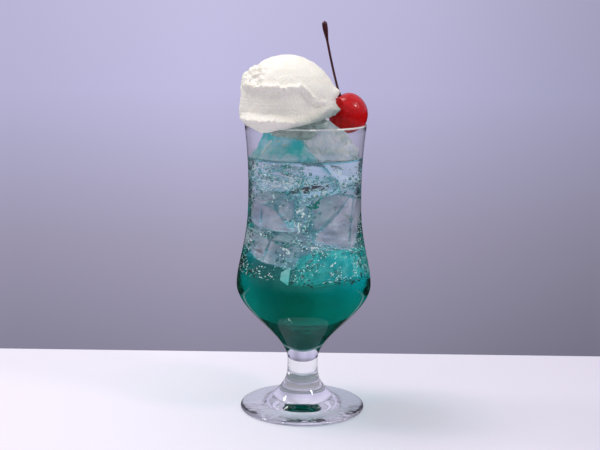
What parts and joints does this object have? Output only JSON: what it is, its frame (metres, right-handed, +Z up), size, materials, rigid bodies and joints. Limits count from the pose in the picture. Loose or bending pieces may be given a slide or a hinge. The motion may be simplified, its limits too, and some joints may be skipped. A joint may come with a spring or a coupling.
{
  "type": "ice cream float",
  "caption": "Footed glass of clear-over-dark layered soda with ice, topped with a scoop of vanilla ice cream and a cherry on its stem.",
  "frame": {"origin": "on the glass's axis, at the level that its foot stands on", "axes": "+Z up along the glass's axis; -Y is the front, with the scoop at the left and the cherry at the right (+X)"},
  "size_m": [0.082, 0.082, 0.2373],
  "materials": {
    "clear_glass": "clear, polished",
    "dark_drink": "clear liquid, deep teal",
    "pale_drink": "clear liquid, pale teal, with bubbles",
    "ice": "clear wet ice",
    "ice_cream": "soft, slightly moist",
    "cherry_skin": "wet gloss",
    "stem": "satin"
  },
  "bodies": {
    "root": {"glass": "clear_glass", "drink_syrup": "dark_drink", "drink_soda": "pale_drink", "ice_left": "ice", "ice_right": "ice", "ice_cream": "ice_cream", "cherry": "cherry_skin", "cherry_stem": "stem"}
  },
  "joints": []
}
